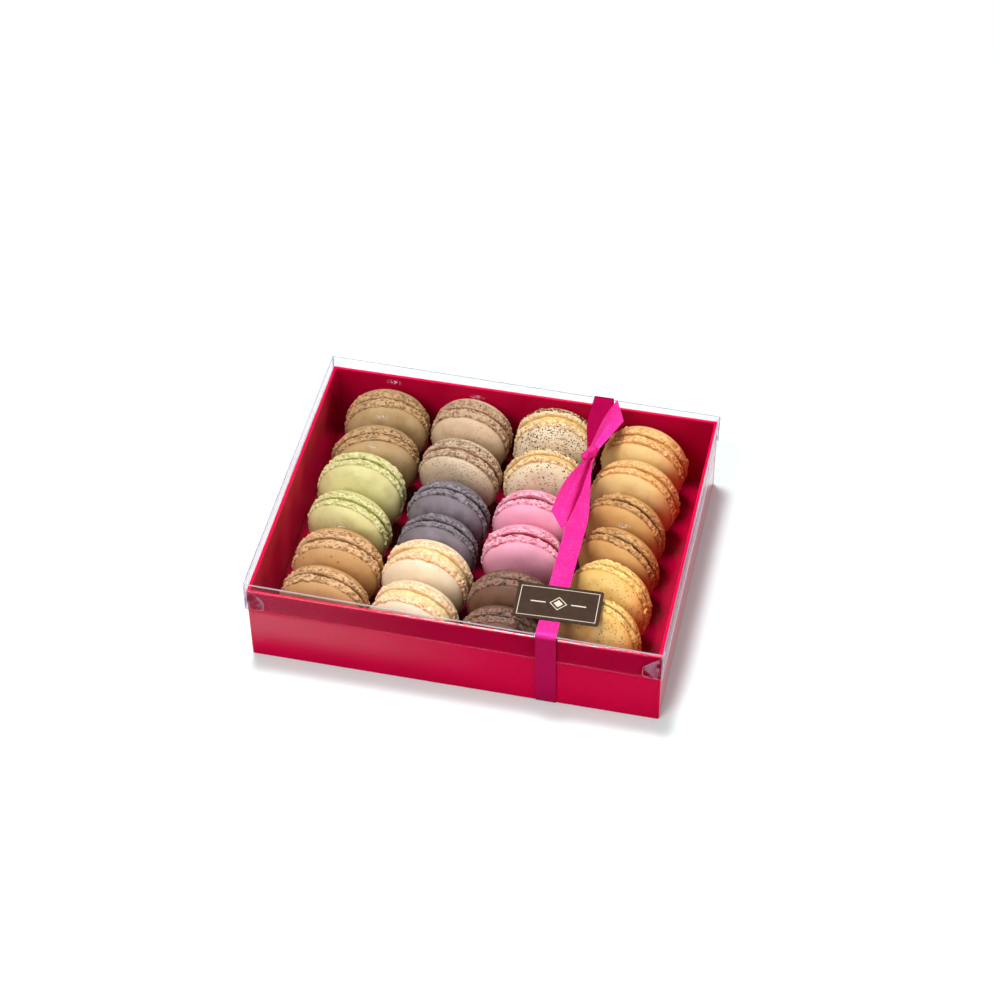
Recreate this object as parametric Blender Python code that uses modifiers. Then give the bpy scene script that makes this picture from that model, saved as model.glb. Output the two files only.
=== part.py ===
"""A box of 24 macarons: a folded card tray, a clear folded lid, a tied ribbon and a card label.

Metres, +Z up. The origin is at the middle of the footprint, on the surface the box stands on.
+X runs along the long side of the box and -Y is the front, where the label lies.
"""
import math

import bmesh
import bpy
from mathutils import Matrix, Vector
from mathutils.bvhtree import BVHTree

MM = 0.001
GAP = 0.3 * MM               # left between pieces that touch

# Tray: card folded double, so its walls are as thick as its base
TRAY_LENGTH = 215 * MM
TRAY_DEPTH = 173 * MM
TRAY_HEIGHT = 48 * MM
CARD = 1.8 * MM
FOLD_RADIUS = 0.85 * MM      # a double fold is round
CHANNEL_WIDTH = 12.5 * MM    # pressed into the base for the ribbon
CHANNEL_DEPTH = 0.8 * MM

# Lid: clear sheet, riding a little high on the left
LID_TOP = 52.5 * MM          # at the middle of the box
LID_TILT = math.radians(0.9)
LID_SHEET = 0.5 * MM
LID_CLEARANCE = 0.6 * MM
LID_WALL = 18.4 * MM
LID_CREASE = 0.4 * MM
TAB_SHEET = 0.3 * MM
TAB_OUTLINE = [(0, 1.5), (10, 10.5), (10.3, 16.3), (8.4, 18.2), (0, 18.2)]   # in from a corner, down, in mm

# Ribbon: one band round the middle of the right half, knotted on the lid
RIBBON_WIDTH = 10.6 * MM
RIBBON_SHEET = 0.4 * MM
RIBBON_FRONT_X = 48.7 * MM   # middle of the band at the front edge
RIBBON_BACK_X = 44.6 * MM    # and at the back edge
KNOT = Vector((45.8 * MM, 41.6 * MM))
KNOT_SIZE = Vector((7.4 * MM, 12.0 * MM, 4.6 * MM))
KNOT_TURN = math.radians(-28)
KNOT_PLEATS = 2.5            # folds of the wrap along the knot
PLEAT_DEPTH = 0.09           # share of the knot's size
GATHER_FRONT = 52 * MM       # length over which the band narrows to the knot
GATHER_BACK = 26 * MM
GATHERED_WIDTH = 4.4 * MM
BEND_RADIUS = 0.7 * MM
TILT_SLACK = 0.1 * MM        # keeps the level band off the tilted lid
BAND_STEPS = 22              # stations of the band over the lid

# The two loose ends, left edge then right edge: x, y and height over the lid in mm
LONG_TAIL = ([(44.2, 37, 2.4), (38.4, 23.9, 2.2), (35.5, 12.2, 1.8), (34.1, -3.4, 1.6)],
             [(47.0, 36, 2.4), (46.6, 19.7, 2.4), (45.2, 4.6, 2.0), (42.4, -16.3, 1.6)])
SHORT_TAIL = ([(44.8, 48, 2.6), (48.3, 67.1, 5.0), (53.0, 80.8, 7.0)],
              [(48.6, 43, 2.6), (54.2, 54.5, 4.6), (59.2, 66.1, 6.0)])
TAIL_STEPS = 8
TAIL_RISE = 0.8 * MM         # how far a loose end arches up along its middle

# Label: a small card lying over the ribbon
LABEL_SIZE = Vector((43.8 * MM, 23.4 * MM))
LABEL_AT = Vector((50.7 * MM, -66.2 * MM))
LABEL_TURN = math.radians(3)
LABEL_CARD = 0.4 * MM
LABEL_SLACK = 0.2 * MM       # kept over the ribbon
LABEL_STEP = (1 * MM, 7 * MM)    # where the label starts down beside the ribbon, and over what width

# Macarons, left row to right and back to front: flavour, middle x and y in mm, lean back and turn in
# degrees, diameter and thickness in mm. Each stands on the tray's base on its edge.
ROWS = [
    [("coffee", -72.9, 66.7, -2, -9, 46.4, 25.4),
     ("coffee", -72.0, 39.1, -3, -11, 47.2, 23.4),
     ("pistachio", -73.2, 13.4, 5, 0, 48.0, 23.6),
     ("pistachio", -73.6, -11.6, -2, 8, 45.8, 23.4),
     ("caramel", -71.9, -42.0, -2, -1, 47.2, 26.0),
     ("caramel", -72.5, -67.0, -3, 2, 47.0, 23.2)],
    [("light_brown", -25.9, 70.4, -2, 4, 44.8, 26.4),
     ("speckled_brown", -24.9, 39.4, -5, 6, 45.2, 25.2),
     ("violet", -24.4, 8.2, 1, 3, 43.6, 23.8),
     ("violet", -24.7, -15.0, 1, 3, 42.6, 21.8),
     ("vanilla", -24.4, -40.8, 2, 4, 46.6, 27.8),
     ("vanilla", -24.2, -69.4, -2, 8, 46.4, 27.2)],
    [("flecked_cream", 21.4, 69.8, 4, -2, 45.6, 27.4),
     ("flecked_cream", 21.0, 42.0, 5, -8, 43.8, 24.2),
     ("pink", 22.2, 10.4, 0, 2, 44.6, 23.6),
     ("pink", 21.6, -14.4, -4, -4, 44.0, 24.0),
     ("chocolate", 22.4, -48.9, -1, -1, 45.6, 23.2),
     ("chocolate", 22.2, -72.4, -3, -1, 44.0, 23.2)],
    [("lemon", 71.2, 66.8, -4, 8, 47.2, 25.4),
     ("lemon", 70.8, 40.2, 0, 9, 47.8, 23.6),
     ("ginger", 69.8, 16.1, 1, 15, 45.4, 22.0),
     ("ginger", 71.2, -8.1, -3, 18, 45.0, 22.2),
     ("yellow", 71.2, -36.4, 14, 16, 46.8, 22.0),
     ("yellow", 70.6, -62.9, 16, 12, 46.2, 23.0)],
]
FILLING = {"coffee": 1.6, "pistachio": 2.4, "caramel": 2.2, "light_brown": 2.6, "speckled_brown": 2.2,
           "violet": 2.2, "vanilla": 4.8, "flecked_cream": 4.2, "pink": 3.0, "chocolate": 1.6,
           "lemon": 3.0, "ginger": 1.8, "yellow": 1.8}      # thickness in mm
DOME_HEIGHT = 6.9 * MM       # from the top of a shell's foot to its crown
DOME_POWER = 3.3             # how square the dome's shoulder is
DOME_RINGS = (0.46, 0.80, 0.955)     # shares of the dome's radius
FOOT_FLARE = 0.8 * MM        # how far a foot stands out past its dome
FOOT_BULGE = 0.3             # where a foot is widest, from the filling up
FILLING_REACH = 0.91         # share of the macaron's radius
UNEVEN = 0.008               # slow waves of a shell's outline, as a share of its radius
RUFFLE = 0.02                # quick waves of its foot
SEGMENTS = 18
FLECKS = 14                  # large dark flecks on a flecked shell
FLECK_SIZE = Vector((1.3 * MM, 0.8 * MM, 0.5 * MM))

# Colour, roughness
FINISH = {
    "tray": ((0.52, 0.0, 0.035, 1), 0.35),
    "lid": ((0.86, 0.88, 0.90, 1), 0.08),
    "ribbon": ((0.85, 0.01, 0.30, 1), 0.35),
    "label": ((0.06, 0.035, 0.022, 1), 0.55),
    "coffee": ((0.47, 0.26, 0.10, 1), 0.6),
    "pistachio": ((0.70, 0.68, 0.27, 1), 0.6),
    "caramel": ((0.60, 0.33, 0.10, 1), 0.6),
    "light_brown": ((0.55, 0.35, 0.19, 1), 0.6),
    "speckled_brown": ((0.50, 0.31, 0.16, 1), 0.6),
    "violet": ((0.16, 0.12, 0.15, 1), 0.6),
    "vanilla": ((0.85, 0.66, 0.40, 1), 0.6),
    "flecked_cream": ((0.73, 0.55, 0.36, 1), 0.6),
    "pink": ((0.84, 0.27, 0.40, 1), 0.6),
    "chocolate": ((0.21, 0.11, 0.07, 1), 0.6),
    "lemon": ((0.86, 0.60, 0.24, 1), 0.6),
    "ginger": ((0.53, 0.24, 0.07, 1), 0.6),
    "yellow": ((0.83, 0.55, 0.14, 1), 0.6),
}

for thing in list(bpy.data.objects):
    bpy.data.objects.remove(thing, do_unlink=True)

box = bpy.data.collections.new("box_of_macarons")
cutters = bpy.data.collections.new("cutters")
for group in (box, cutters):
    bpy.context.scene.collection.children.link(group)


def finish(name):
    """The Principled material of a sub-part or flavour."""
    if name in bpy.data.materials:
        return bpy.data.materials[name]
    colour, roughness = FINISH[name]
    material = bpy.data.materials.new(name)
    material.use_nodes = True
    shader = material.node_tree.nodes["Principled BSDF"]
    shader.inputs["Base Color"].default_value = colour
    shader.inputs["Roughness"].default_value = roughness
    return material


def add(name, mesh, look, collection=box):
    """A new object of this mesh, with its material."""
    piece = bpy.data.objects.new(name, mesh)
    collection.objects.link(piece)
    mesh.materials.append(finish(look))
    return piece


def mesh_of(shape, name):
    """Close a bmesh into a mesh."""
    bmesh.ops.recalc_face_normals(shape, faces=shape.faces)
    mesh = bpy.data.meshes.new(name)
    shape.to_mesh(mesh)
    shape.free()
    return mesh


def modifier(piece, kind, **settings):
    """Add a modifier with these settings."""
    added = piece.modifiers.new(kind.title(), kind)
    for key, value in settings.items():
        setattr(added, key, value)


def open_box(name, size, look):
    """A box standing on z = 0 with no top, as a single surface."""
    shape = bmesh.new()
    bmesh.ops.create_cube(shape, size=1)
    bmesh.ops.delete(shape, geom=[f for f in shape.faces if f.normal.z > 0.5], context="FACES")
    bmesh.ops.scale(shape, vec=size, verts=shape.verts)
    bmesh.ops.translate(shape, vec=(0, 0, size[2] / 2), verts=shape.verts)
    return add(name, mesh_of(shape, name), look)


def fuse(piece, others):
    """Join other objects to this one for good, then remove them."""
    scraps = bpy.data.collections.new("scraps")
    bpy.context.scene.collection.children.link(scraps)
    for other in others:
        for home in list(other.users_collection):
            home.objects.unlink(other)
        scraps.objects.link(other)
    modifier(piece, "BOOLEAN", operation="UNION", operand_type="COLLECTION", collection=scraps)
    bpy.context.view_layer.update()
    solid = bpy.data.meshes.new_from_object(piece.evaluated_get(bpy.context.evaluated_depsgraph_get()))
    piece.modifiers.clear()
    piece.data = solid
    for other in list(scraps.objects):
        bpy.data.objects.remove(other, do_unlink=True)
    bpy.data.collections.remove(scraps)


def lid_height(x):
    """Height of the tilted lid's upper face at this x."""
    return LID_TOP - math.tan(LID_TILT) * x


def smooth(t):
    """Ease from 0 to 1."""
    t = min(max(t, 0), 1)
    return t * t * (3 - 2 * t)


def blend(a, b, t):
    """A point or number between a and b."""
    return a + (b - a) * t


def through(points, t):
    """A point on a smooth curve through these points, for t from 0 to 1."""
    last = len(points) - 1
    at = min(int(t * last), last - 1)
    local = t * last - at
    p = [points[min(max(at + step, 0), last)] for step in (-1, 0, 1, 2)]
    return 0.5 * (2 * p[1] + (p[2] - p[0]) * local
                  + (2 * p[0] - 5 * p[1] + 4 * p[2] - p[3]) * local ** 2
                  + (3 * p[1] - p[0] - 3 * p[2] + p[3]) * local ** 3)


# Tray, with the ribbon's channel across its base
tray = open_box("tray", (TRAY_LENGTH, TRAY_DEPTH, TRAY_HEIGHT), "tray")
modifier(tray, "SOLIDIFY", thickness=CARD, offset=-1, use_even_offset=True)
modifier(tray, "BEVEL", width=FOLD_RADIUS, segments=3, limit_method="ANGLE")

channel_shape = bmesh.new()
bmesh.ops.create_cube(channel_shape, size=1)
channel = add("channel", mesh_of(channel_shape, "channel"), "tray", cutters)
channel.scale = (CHANNEL_WIDTH, 2 * TRAY_DEPTH, 2 * CHANNEL_DEPTH)
channel.location.x = (RIBBON_FRONT_X + RIBBON_BACK_X) / 2
channel.rotation_euler.z = math.atan((RIBBON_FRONT_X - RIBBON_BACK_X) / TRAY_DEPTH)
channel.hide_render = True
channel.display_type = "WIRE"
modifier(tray, "BOOLEAN", operation="DIFFERENCE", object=channel)

# Lid: the tray's shape upside down, with tabs glued over the ends of its front and back walls
overhang = 2 * (LID_CLEARANCE + LID_SHEET)
lid_length = TRAY_LENGTH + overhang
lid_depth = TRAY_DEPTH + overhang
lid = open_box("lid", (lid_length, lid_depth, LID_WALL), "lid")
modifier(lid, "SOLIDIFY", thickness=LID_SHEET, offset=-1, use_even_offset=True)
modifier(lid, "BEVEL", width=LID_CREASE / 2, segments=2, limit_method="ANGLE")


def tab(side_x, side_y):
    """One glued corner tab, drawn from the corner inwards and from the crease down."""
    shape = bmesh.new()
    for y in (-LID_SHEET / 5, TAB_SHEET):
        ring = [shape.verts.new((side_x * (lid_length / 2 - inward * MM - LID_CREASE),
                                 side_y * (lid_depth / 2 + y), down * MM)) for inward, down in TAB_OUTLINE]
        shape.faces.new(ring)
    shape.verts.ensure_lookup_table()
    count = len(TAB_OUTLINE)
    for i in range(count):
        j = (i + 1) % count
        shape.faces.new([shape.verts[k] for k in (i, j, j + count, i + count)])
    return add("tab", mesh_of(shape, "tab"), "lid")


bpy.context.view_layer.update()
fuse(lid, [tab(x, y) for x in (-1, 1) for y in (-1, 1)])
lid.rotation_euler = (math.pi, LID_TILT, 0)
lid.location = (LID_WALL * math.sin(LID_TILT) / 2, 0, LID_TOP)   # centred on the tray where its walls end


def band_middle(y):
    """Middle of the band across X on its way over the lid."""
    if y > KNOT.y:
        return blend(KNOT.x, RIBBON_BACK_X, smooth((y - KNOT.y) / GATHER_BACK))
    return blend(KNOT.x, RIBBON_FRONT_X, smooth((KNOT.y - y) / GATHER_FRONT))


def band_width(y):
    """Width of the band, gathered where the knot grips it."""
    reach = GATHER_BACK if y > KNOT.y else GATHER_FRONT
    return blend(GATHERED_WIDTH, RIBBON_WIDTH, smooth(abs(y - KNOT.y) / reach))


def band_stations():
    """(middle x, y, z, width) round the box: over the lid, down, under and up."""
    off = GAP + RIBBON_SHEET / 2
    top_y = lid_depth / 2 + off
    foot_y = TRAY_DEPTH / 2 + off
    stations = []

    def bend(x, y, z, start):
        """A rounded corner about its inner centre, a quarter turn from this angle."""
        for i in range(4):
            angle = start - i * math.pi / 6
            stations.append((x, y + BEND_RADIUS * math.cos(angle), z + BEND_RADIUS * math.sin(angle),
                             RIBBON_WIDTH))

    low = CHANNEL_DEPTH - off + BEND_RADIUS
    run = top_y - BEND_RADIUS
    foot = foot_y - BEND_RADIUS
    for i in range(1, BAND_STEPS):
        y = blend(-run, run, i / BAND_STEPS)
        stations.append((band_middle(y), y, lid_height(band_middle(y)) + off + TILT_SLACK, band_width(y)))
    bend(RIBBON_BACK_X, run, lid_height(RIBBON_BACK_X) + off + TILT_SLACK - BEND_RADIUS, math.pi / 2)
    stations.append((RIBBON_BACK_X, top_y, lid_height(RIBBON_BACK_X) - LID_WALL - 1 * MM, RIBBON_WIDTH))
    bend(RIBBON_BACK_X, foot, low, 0)
    bend(RIBBON_FRONT_X, -foot, low, -math.pi / 2)
    stations.append((RIBBON_FRONT_X, -top_y, lid_height(RIBBON_FRONT_X) - LID_WALL - 1 * MM, RIBBON_WIDTH))
    bend(RIBBON_FRONT_X, -run, lid_height(RIBBON_FRONT_X) + off + TILT_SLACK - BEND_RADIUS, math.pi)
    return stations


def strip(name, rows, closed=False):
    """A ribbon strip through rows of points, as one surface made thick."""
    shape = bmesh.new()
    grid = [[shape.verts.new(point) for point in row] for row in rows]
    pairs = list(zip(grid, grid[1:]))
    if closed:
        pairs.append((grid[-1], grid[0]))
    for first, second in pairs:
        for i in range(len(first) - 1):
            shape.faces.new((first[i], first[i + 1], second[i + 1], second[i]))
    piece = add(name, mesh_of(shape, name), "ribbon")
    modifier(piece, "SOLIDIFY", thickness=RIBBON_SHEET, offset=0)
    return piece


def tail(name, edges):
    """A loose end between its two edges, arched a little across."""
    left, right = [[Vector((x * MM, y * MM, lid_height(x * MM) + height * MM)) for x, y, height in edge]
                   for edge in edges]
    rows = []
    for i in range(TAIL_STEPS + 1):
        a = through(left, i / TAIL_STEPS)
        b = through(right, i / TAIL_STEPS)
        middle = (a + b) / 2 + Vector((0, 0, TAIL_RISE * math.sin(math.pi * i / TAIL_STEPS)))
        rows.append([a, middle, b])
    return strip(name, rows)


band_rows = [[Vector((x - width / 2, y, z)), Vector((x + width / 2, y, z))]
             for x, y, z, width in band_stations()]
ribbon = strip("ribbon", band_rows, closed=True)

long_tail = tail("long_tail", LONG_TAIL)
short_tail = tail("short_tail", SHORT_TAIL)

knot_shape = bmesh.new()
bmesh.ops.create_uvsphere(knot_shape, u_segments=16, v_segments=10, radius=0.5)
lay_along_y = Matrix.Rotation(math.pi / 2, 3, "X")
bmesh.ops.rotate(knot_shape, cent=(0, 0, 0), matrix=lay_along_y, verts=knot_shape.verts)
for vert in knot_shape.verts:
    fold = math.sin(math.tau * KNOT_PLEATS * (vert.co.y + vert.co.x / 2))
    vert.co.x *= 1 + PLEAT_DEPTH * fold
    vert.co.z *= 1 + PLEAT_DEPTH * fold
knot = add("knot", mesh_of(knot_shape, "knot"), "ribbon")
knot.scale = KNOT_SIZE
knot.rotation_euler.z = KNOT_TURN
knot.location = (KNOT.x, KNOT.y, lid_height(KNOT.x) + GAP + KNOT_SIZE.z / 2)

fuse(ribbon, [long_tail, short_tail, knot])


def label_height(x):
    """The label's lower face over the lid: up over the ribbon, down on either side."""
    away = abs(x - (RIBBON_FRONT_X - LABEL_AT.x)) - RIBBON_WIDTH / 2
    down = smooth((away - LABEL_STEP[0]) / LABEL_STEP[1])
    return blend(2 * GAP + RIBBON_SHEET + LABEL_SLACK, GAP, down)


# Label: a grid bent over the ribbon
label_shape = bmesh.new()
bmesh.ops.create_grid(label_shape, x_segments=22, y_segments=2, size=0.5)
for vert in label_shape.verts:
    vert.co.x *= LABEL_SIZE.x
    vert.co.y *= LABEL_SIZE.y
    vert.co.z = label_height(vert.co.x) + LABEL_CARD / 2
label = add("label", mesh_of(label_shape, "label"), "label")
modifier(label, "SOLIDIFY", thickness=LABEL_CARD, offset=0)
label.location = (LABEL_AT.x, LABEL_AT.y, lid_height(LABEL_AT.x))
label.rotation_euler = (0, LID_TILT, LABEL_TURN)


def wave(angle, seed):
    """Slow unevenness of a shell's outline, between about -1 and 1."""
    return 0.6 * math.sin(2 * angle + seed) + 0.4 * math.sin(3 * angle + 2.3 * seed)


def ruffle(angle, seed):
    """Quick unevenness of a foot, between about -1 and 1."""
    return 0.6 * math.sin(7 * angle + 1.7 * seed) + 0.4 * math.sin(5 * angle - seed)


def macaron(name, flavour, size, thickness, seed):
    """Two domed shells with ruffled feet and the filling between them, its axis along +Y."""
    radius = size / 2
    dome_radius = radius - FOOT_FLARE
    foot_top = thickness / 2 - DOME_HEIGHT
    filling = FILLING[flavour] * MM / 2
    half = [(foot_top + DOME_HEIGHT * math.sqrt(1 - share ** DOME_POWER), dome_radius * share, 0)
            for share in DOME_RINGS]
    half += [(foot_top, dome_radius, 0.4), (blend(filling, foot_top, FOOT_BULGE), radius, 1),
             (filling, FILLING_REACH * radius, 0.3)]
    rings = half + [(-height, reach, rough) for height, reach, rough in reversed(half)]
    shape = bmesh.new()
    bmesh.ops.create_uvsphere(shape, u_segments=SEGMENTS, v_segments=len(rings) + 1, radius=1)
    for vert in shape.verts:
        ring = round(math.acos(max(-1, min(1, vert.co.z))) / math.pi * (len(rings) + 1)) - 1
        if ring < 0 or ring >= len(rings):
            vert.co = (0, 0, math.copysign(thickness / 2, vert.co.z))
            continue
        height, reach, rough = rings[ring]
        angle = math.atan2(vert.co.y, vert.co.x)
        reach += radius * (UNEVEN * wave(angle, seed) + RUFFLE * rough * ruffle(angle, seed + ring))
        vert.co = (reach * math.cos(angle), reach * math.sin(angle), height)
    bmesh.ops.rotate(shape, cent=(0, 0, 0), matrix=Matrix.Rotation(-math.pi / 2, 3, "X"), verts=shape.verts)
    return add(name, mesh_of(shape, name), flavour)


def flecks(piece, radius, thickness, seed):
    """Large dark flecks, half sunk in the front shell's dome, evenly spread by the golden angle."""
    surface = BVHTree.FromPolygons([vert.co for vert in piece.data.vertices],
                                   [face.vertices for face in piece.data.polygons])
    made = []
    for i in range(FLECKS):
        turn = i * math.pi * (3 - math.sqrt(5)) + seed
        reach = radius * 0.88 * math.sqrt((i + 0.7) / FLECKS)
        start = Vector((reach * math.cos(turn), -thickness, reach * math.sin(turn)))
        at, normal = surface.ray_cast(start, Vector((0, 1, 0)))[:2]
        shape = bmesh.new()
        bmesh.ops.create_icosphere(shape, subdivisions=1, radius=0.5)
        fleck = add("fleck", mesh_of(shape, "fleck"), "flecked_cream")
        fleck.matrix_world = (Matrix.Translation(at) @ normal.to_track_quat("Z", "Y").to_matrix().to_4x4()
                              @ Matrix.Rotation(2.4 * i, 4, "Z") @ Matrix.Diagonal(FLECK_SIZE.to_4d()))
        made.append(fleck)
    fuse(piece, made)


for row_number, row in enumerate(ROWS, start=1):
    for place, (flavour, x, y, lean, turn, size, thickness) in enumerate(row, start=1):
        seed = 1.9 * row_number + 0.7 * place
        piece = macaron(f"macaron_{row_number}_{place}_{flavour}", flavour, size * MM, thickness * MM, seed)
        if flavour == "flecked_cream":
            flecks(piece, size * MM / 2, thickness * MM, seed)
        turned = Matrix.Rotation(math.radians(-turn), 4, "Z") @ Matrix.Rotation(math.radians(-lean), 4, "X")
        lowest = min((turned @ vert.co).z for vert in piece.data.vertices)
        piece.matrix_world = Matrix.Translation((x * MM, y * MM, CARD + GAP - lowest)) @ turned

for piece in box.objects:
    piece.data.shade_smooth()
    piece.data.set_sharp_from_angle(angle=math.radians(40))
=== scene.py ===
"""The box of macarons dressed for its picture: card tray, 24 filled macarons, clear lid, ribbon and label."""

import math

import bmesh
import bpy
import numpy as np
from mathutils import Matrix, Vector


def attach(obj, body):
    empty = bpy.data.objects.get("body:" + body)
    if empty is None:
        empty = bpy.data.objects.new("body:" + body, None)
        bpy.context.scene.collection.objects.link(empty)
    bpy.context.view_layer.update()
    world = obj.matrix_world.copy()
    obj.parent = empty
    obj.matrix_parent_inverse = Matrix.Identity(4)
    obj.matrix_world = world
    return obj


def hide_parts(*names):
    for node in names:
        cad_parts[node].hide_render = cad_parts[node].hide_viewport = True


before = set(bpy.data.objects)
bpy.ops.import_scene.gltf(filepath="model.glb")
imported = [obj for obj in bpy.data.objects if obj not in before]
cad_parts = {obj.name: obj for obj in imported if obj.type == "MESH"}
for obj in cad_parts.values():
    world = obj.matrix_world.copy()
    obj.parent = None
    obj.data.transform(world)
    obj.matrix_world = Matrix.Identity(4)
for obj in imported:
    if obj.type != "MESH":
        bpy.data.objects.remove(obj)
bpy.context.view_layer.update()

# Card tray: coated red card, scored and folded double, so that each wall ends in a round fold at the rim.
# The solid's shape is right as it stands, so it keeps that and only gets its varnished card.
MM = 0.001
TRAY_LENGTH = 215 * MM
TRAY_DEPTH = 173 * MM
TRAY_HEIGHT = 48 * MM


def paint(red, green, blue):
    """A paint mixed from 0-255 values, as a shader wants it."""
    def linear(value):
        value /= 255
        return value / 12.92 if value <= 0.04045 else ((value + 0.055) / 1.055) ** 2.4
    return (linear(red), linear(green), linear(blue), 1.0)


def node(tree, kind, ins=(), **settings):
    """Add a shader node, set it up, and feed its inputs with values or with other nodes' outputs."""
    made = tree.nodes.new("ShaderNode" + kind)
    for key, value in settings.items():
        setattr(made, key, value)
    for name, value in dict(ins).items():
        if isinstance(value, bpy.types.NodeSocket):
            tree.links.new(value, made.inputs[name])
        else:
            made.inputs[name].default_value = value
    return made


def blend_paint(tree, share, first, second):
    """A mix of two paints, each a value or another node's output. Its colour sockets are 6, 7 and 2."""
    return node(tree, "Mix", {0: share, 6: first, 7: second}, data_type="RGBA").outputs[2]


def join(tree, kind, first, *others):
    """Values joined one after the other, by a difference, a sum or the like."""
    for other in others:
        first = node(tree, "Math", {0: first, 1: other}, operation=kind).outputs[0]
    return first


def product(tree, *values):
    """The values multiplied."""
    return join(tree, "MULTIPLY", *values)


def least(tree, *values):
    """The smallest of the values."""
    return join(tree, "MINIMUM", *values)


def most(tree, *values):
    """The largest of the values."""
    return join(tree, "MAXIMUM", *values)


def unsigned(tree, value):
    """A value without its sign."""
    return node(tree, "Math", {0: value}, operation="ABSOLUTE").outputs[0]


def scaled(tree, value, factor, plus, **settings):
    """A value times a factor, plus another value."""
    return node(tree, "Math", {0: value, 1: factor, 2: plus}, operation="MULTIPLY_ADD", **settings).outputs[0]


def ramp(tree, value, low, high, smooth=True):
    """A value taken from low..high to 0..1."""
    return node(tree, "MapRange", {"Value": value, "From Min": low, "From Max": high},
                interpolation_type="SMOOTHSTEP" if smooth else "LINEAR").outputs["Result"]


def noise(tree, place, scale, detail=2.0, roughness=0.5):
    """Soft noise at this scale, in lumps a metre."""
    return node(tree, "TexNoise", {"Vector": place, "Scale": scale, "Detail": detail,
                                   "Roughness": roughness}).outputs["Fac"]


def new_finish(name, roughness, **sockets):
    """A new material: gives it, its node tree, its shader and the place on the object."""
    material = bpy.data.materials.new(name)
    material.use_nodes = True
    tree = material.node_tree
    shader = tree.nodes["Principled BSDF"]
    shader.inputs["Roughness"].default_value = roughness
    for socket, value in sockets.items():
        shader.inputs[socket.replace("_", " ")].default_value = value
    place = node(tree, "TexCoord").outputs["Object"]
    return material, tree, shader, place


def emboss(tree, shader, height, strength, depth):
    """Give the surface a fine relief of this depth."""
    relief = node(tree, "Bump", {"Height": height, "Strength": strength, "Distance": depth})
    tree.links.new(relief.outputs["Normal"], shader.inputs["Normal"])


def red_card():
    """Deep red card with a faint fibre, under a gloss varnish that is rubbed dull low and right on the front.

    Its other reds are painted light and shade: a painted highlight on the folded rim, painted light on the
    inner face of the right end wall, a painted reflection that makes the inner face of the left end wall
    paler and browner, and painted shade that darkens the base inside.
    """
    material, tree, shader, place = new_finish("red_varnished_card", 0.2, IOR=1.08, Coat_IOR=1.45,
                                               Coat_Roughness=0.1)
    x, y, z = node(tree, "SeparateXYZ", {0: place}).outputs
    end, side = unsigned(tree, x), unsigned(tree, y)
    end_face, side_face = TRAY_LENGTH / 2, TRAY_DEPTH / 2       # the walls' outer faces
    cloud = ramp(tree, noise(tree, place, 28, 3), 0.3, 0.7)
    fibre = ramp(tree, noise(tree, place, 900, 4, 0.6), 0.35, 0.75)
    red = blend_paint(tree, cloud, paint(186, 0, 54), paint(197, 0, 61))
    red = blend_paint(tree, fibre, red, paint(177, 0, 49))

    # Reds that are painted light and shade: a painted reflection, paler and browner, on the inner face of the
    # left end wall away from the back, painted light on the inner face of the right end wall, painted shade
    # on the base inside and a painted highlight on the rim
    left = blend_paint(tree, ramp(tree, y, 78 * MM, 48 * MM), red, paint(210, 56, 68))
    end_wall_painted_light = blend_paint(tree, ramp(tree, x, -1 * MM, 1 * MM), left, paint(242, 0, 58))
    inner_end_faces = product(tree, ramp(tree, end, end_face - 2.2 * MM, end_face - 1.9 * MM),
                    ramp(tree, end, end_face - 0.8 * MM, end_face - 1.2 * MM),
                    ramp(tree, side, side_face - 0.8 * MM, side_face - 1.2 * MM))
    red = blend_paint(tree, inner_end_faces, red, end_wall_painted_light)
    # Painted shade: the base inside, in the gaps between the rows, is a dark red
    base = product(tree, ramp(tree, end, 100 * MM, 90 * MM), ramp(tree, side, 85.5 * MM, 84.5 * MM),
                   ramp(tree, z, 2.4 * MM, 2 * MM))
    red = blend_paint(tree, base, red, paint(128, 0, 36))
    # Painted highlight: the rounded rim is a brighter red
    rim = ramp(tree, z, TRAY_HEIGHT - 0.8 * MM, TRAY_HEIGHT - 0.3 * MM)
    tree.links.new(blend_paint(tree, rim, red, paint(236, 0, 72)), shader.inputs["Base Color"])

    # The varnish: rubbed off the front except up and to the left, and thin on the rim and the back
    front = ramp(tree, y, 0.5 * MM - side_face, 0.2 * MM - side_face)
    below_rim = ramp(tree, z, TRAY_HEIGHT - 0.5 * MM, TRAY_HEIGHT - 1.2 * MM)
    glossy = product(tree, ramp(tree, x, 35 * MM, -115 * MM), ramp(tree, z, 4 * MM, 24 * MM),
                     ramp(tree, z, 35 * MM, 31 * MM))
    rubbed = product(tree, front, below_rim, join(tree, "SUBTRACT", 1.0, glossy))
    back = ramp(tree, y, side_face - 8 * MM, side_face - 3 * MM)
    dull = scaled(tree, back, 0.85, scaled(tree, rim, 0.45, rubbed), use_clamp=True)
    tree.links.new(join(tree, "SUBTRACT", 1.0, dull), shader.inputs["Coat Weight"])
    emboss(tree, shader, noise(tree, place, 260, 3), 0.08, 0.6 * MM)
    return material


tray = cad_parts["tray"]
tray.material_slots[0].material = red_card()

# Macarons: almond meringue piped in rounds and baked, so that a smooth crust rises on a ragged, porous foot.
# Two shells are stuck together with a layer of cream, and six stand on edge in each of the four rows.

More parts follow.
